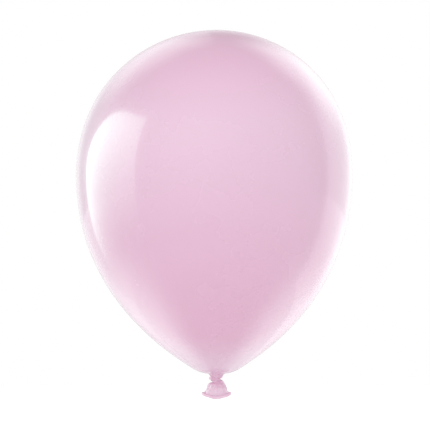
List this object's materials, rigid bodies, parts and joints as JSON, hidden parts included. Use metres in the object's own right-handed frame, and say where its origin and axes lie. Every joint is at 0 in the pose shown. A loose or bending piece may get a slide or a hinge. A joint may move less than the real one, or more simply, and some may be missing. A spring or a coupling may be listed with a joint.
{
  "type": "latex balloon",
  "caption": "Inflated round latex party balloon with a gathered neck, a tied overhand knot and a flared tail that ends in a rolled lip.",
  "frame": {"origin": "centre of the waist just above the knot, where a ribbon or string is tied", "axes": "+Z along the balloon's axis from the waist to the crown; X across the broad side of the flattened tail"},
  "size_m": [0.28, 0.28, 0.3733],
  "materials": {
    "inflated_film": "gloss",
    "gathered_film": "satin",
    "tail_film": "satin",
    "rolled_lip": "satin"
  },
  "bodies": {
    "envelope": {"envelope": "inflated_film"},
    "neck": {"neck_throat": "gathered_film"},
    "knot": {"neck_pleats": "gathered_film", "knot": "gathered_film"},
    "tail_root": {"tail_stem": "gathered_film"},
    "tail": {"tail_skirt": "tail_film", "lip_bead": "rolled_lip"}
  },
  "joints": [
    {"name": "neck_nod", "type": "hinge", "parent": "envelope", "child": "neck", "pos_m": [0, 0, 0.009], "axis": [1, 0, 0], "range_deg": [-8, 8], "stiffness_Nm_per_rad": 0.002},
    {"name": "neck_sway", "type": "hinge", "parent": "neck", "child": "knot", "pos_m": [0, 0, 0.009], "axis": [0, 1, 0], "range_deg": [-8, 8], "stiffness_Nm_per_rad": 0.002},
    {"name": "tail_nod", "type": "hinge", "parent": "knot", "child": "tail_root", "pos_m": [0, 0, -0.00404], "axis": [1, 0, 0], "range_deg": [-40, 40], "stiffness_Nm_per_rad": 0.0005},
    {"name": "tail_sway", "type": "hinge", "parent": "tail_root", "child": "tail", "pos_m": [0, 0, -0.00404], "axis": [0, 1, 0], "range_deg": [-35, 35], "stiffness_Nm_per_rad": 0.0005}
  ]
}
